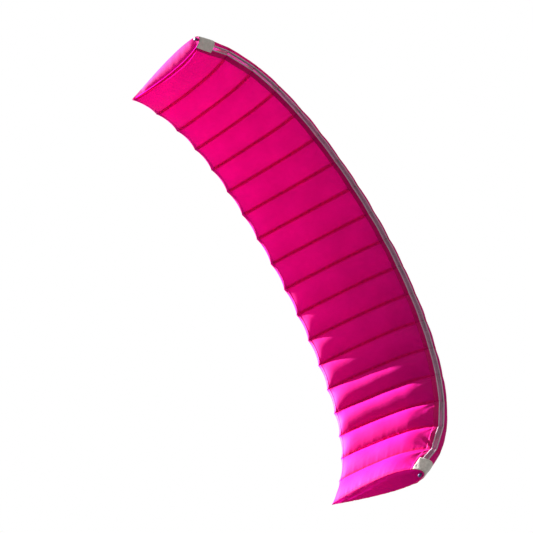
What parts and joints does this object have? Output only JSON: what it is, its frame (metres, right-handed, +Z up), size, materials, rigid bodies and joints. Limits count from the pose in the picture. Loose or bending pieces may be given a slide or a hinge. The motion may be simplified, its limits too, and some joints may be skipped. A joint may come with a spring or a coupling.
{
  "type": "ram-air power kite",
  "caption": "Bridle-less ram-air power kite: a mesh-fronted cloth aerofoil on a flexible leading-edge spar, in its flying arc, whose sections flex flat and whose spar end caps pull off.",
  "frame": {"origin": "centre of the spar at the middle rib, where the leading edge is held", "axes": "+X along the span to the right tip, +Y from the leading edge to the trailing edge, +Z up, to the outside of the arc"},
  "size_m": [2.4228, 0.9061, 0.8445],
  "materials": {
    "upper_skin_cloth": "ripstop nylon, satin",
    "lower_skin_cloth": "ripstop nylon, satin",
    "rib_cloth": "ripstop nylon, matt",
    "intake_mesh": "open polyester mesh, matt",
    "tip_patch_cloth": "woven polyester, matt",
    "spar_carbon": "carbon-fibre tube, satin",
    "ferrule_metal": "turned, satin",
    "end_cap_rubber": "moulded, matt"
  },
  "bodies": {
    "centre": {"upper_skin_centre": "upper_skin_cloth", "lower_skin_centre": "lower_skin_cloth", "intake_mesh_centre": "intake_mesh", "spar_centre": "spar_carbon", "rib_07": "rib_cloth", "rib_08": "rib_cloth", "rib_09": "rib_cloth", "rib_10": "rib_cloth", "rib_11": "rib_cloth"},
    "inner_left": {"upper_skin_inner_left": "upper_skin_cloth", "lower_skin_inner_left": "lower_skin_cloth", "intake_mesh_inner_left": "intake_mesh", "spar_inner_left": "spar_carbon", "rib_05": "rib_cloth", "rib_06": "rib_cloth", "ferrule_left": "ferrule_metal"},
    "middle_left": {"upper_skin_middle_left": "upper_skin_cloth", "lower_skin_middle_left": "lower_skin_cloth", "intake_mesh_middle_left": "intake_mesh", "spar_middle_left": "spar_carbon", "rib_03": "rib_cloth", "rib_04": "rib_cloth"},
    "outer_left": {"upper_skin_outer_left": "upper_skin_cloth", "lower_skin_outer_left": "lower_skin_cloth", "intake_mesh_outer_left": "intake_mesh", "spar_outer_left": "spar_carbon", "rib_01": "rib_cloth", "rib_02": "rib_cloth", "tip_rib_left": "rib_cloth", "tip_patch_left": "tip_patch_cloth"},
    "end_cap_left": {"end_cap_left": "end_cap_rubber"},
    "inner_right": {"upper_skin_inner_right": "upper_skin_cloth", "lower_skin_inner_right": "lower_skin_cloth", "intake_mesh_inner_right": "intake_mesh", "spar_inner_right": "spar_carbon", "rib_12": "rib_cloth", "rib_13": "rib_cloth", "ferrule_right": "ferrule_metal"},
    "middle_right": {"upper_skin_middle_right": "upper_skin_cloth", "lower_skin_middle_right": "lower_skin_cloth", "intake_mesh_middle_right": "intake_mesh", "spar_middle_right": "spar_carbon", "rib_14": "rib_cloth", "rib_15": "rib_cloth"},
    "outer_right": {"upper_skin_outer_right": "upper_skin_cloth", "lower_skin_outer_right": "lower_skin_cloth", "intake_mesh_outer_right": "intake_mesh", "spar_outer_right": "spar_carbon", "rib_16": "rib_cloth", "rib_17": "rib_cloth", "tip_rib_right": "rib_cloth", "tip_patch_right": "tip_patch_cloth"},
    "end_cap_right": {"end_cap_right": "end_cap_rubber"}
  },
  "joints": [
    {"name": "inner_flex_left", "type": "hinge", "parent": "centre", "child": "inner_left", "pos_m": [-0.35094, 0.02201, 0.02413], "axis": [0.0441, 0.9983, -0.0393], "range_deg": [-2, 19.3], "stiffness_Nm_per_rad": 90},
    {"name": "middle_flex_left", "type": "hinge", "parent": "inner_left", "child": "middle_left", "pos_m": [-0.68396, 0.07949, -0.09609], "axis": [0.1014, 0.9948, -0.0027], "range_deg": [-1.6, 15.4], "stiffness_Nm_per_rad": 90},
    {"name": "outer_flex_left", "type": "hinge", "parent": "middle_left", "child": "outer_left", "pos_m": [-0.97245, 0.18058, -0.30371], "axis": [0.1655, 0.9819, 0.0924], "range_deg": [-2.6, 24.6], "stiffness_Nm_per_rad": 90},
    {"name": "end_cap_pull_left", "type": "slide", "parent": "outer_left", "child": "end_cap_left", "axis": [-0.2617, 0.581, -0.7707], "range_m": [0, 0.03]},
    {"name": "inner_flex_right", "type": "hinge", "parent": "centre", "child": "inner_right", "pos_m": [0.35094, 0.02201, 0.02413], "axis": [0.0441, -0.9983, 0.0393], "range_deg": [-2, 19.3], "stiffness_Nm_per_rad": 90},
    {"name": "middle_flex_right", "type": "hinge", "parent": "inner_right", "child": "middle_right", "pos_m": [0.68396, 0.07949, -0.09609], "axis": [0.1014, -0.9948, 0.0027], "range_deg": [-1.6, 15.4], "stiffness_Nm_per_rad": 90},
    {"name": "outer_flex_right", "type": "hinge", "parent": "middle_right", "child": "outer_right", "pos_m": [0.97245, 0.18058, -0.30371], "axis": [0.1655, -0.9819, -0.0924], "range_deg": [-2.6, 24.6], "stiffness_Nm_per_rad": 90},
    {"name": "end_cap_pull_right", "type": "slide", "parent": "outer_right", "child": "end_cap_right", "axis": [0.2617, 0.581, -0.7707], "range_m": [0, 0.03]}
  ],
  "couplings": [
    {"joint": "middle_flex_left", "follows": "inner_flex_left", "ratio": 0.795},
    {"joint": "outer_flex_left", "follows": "inner_flex_left", "ratio": 1.273},
    {"joint": "middle_flex_right", "follows": "inner_flex_right", "ratio": 0.795},
    {"joint": "outer_flex_right", "follows": "inner_flex_right", "ratio": 1.273}
  ]
}
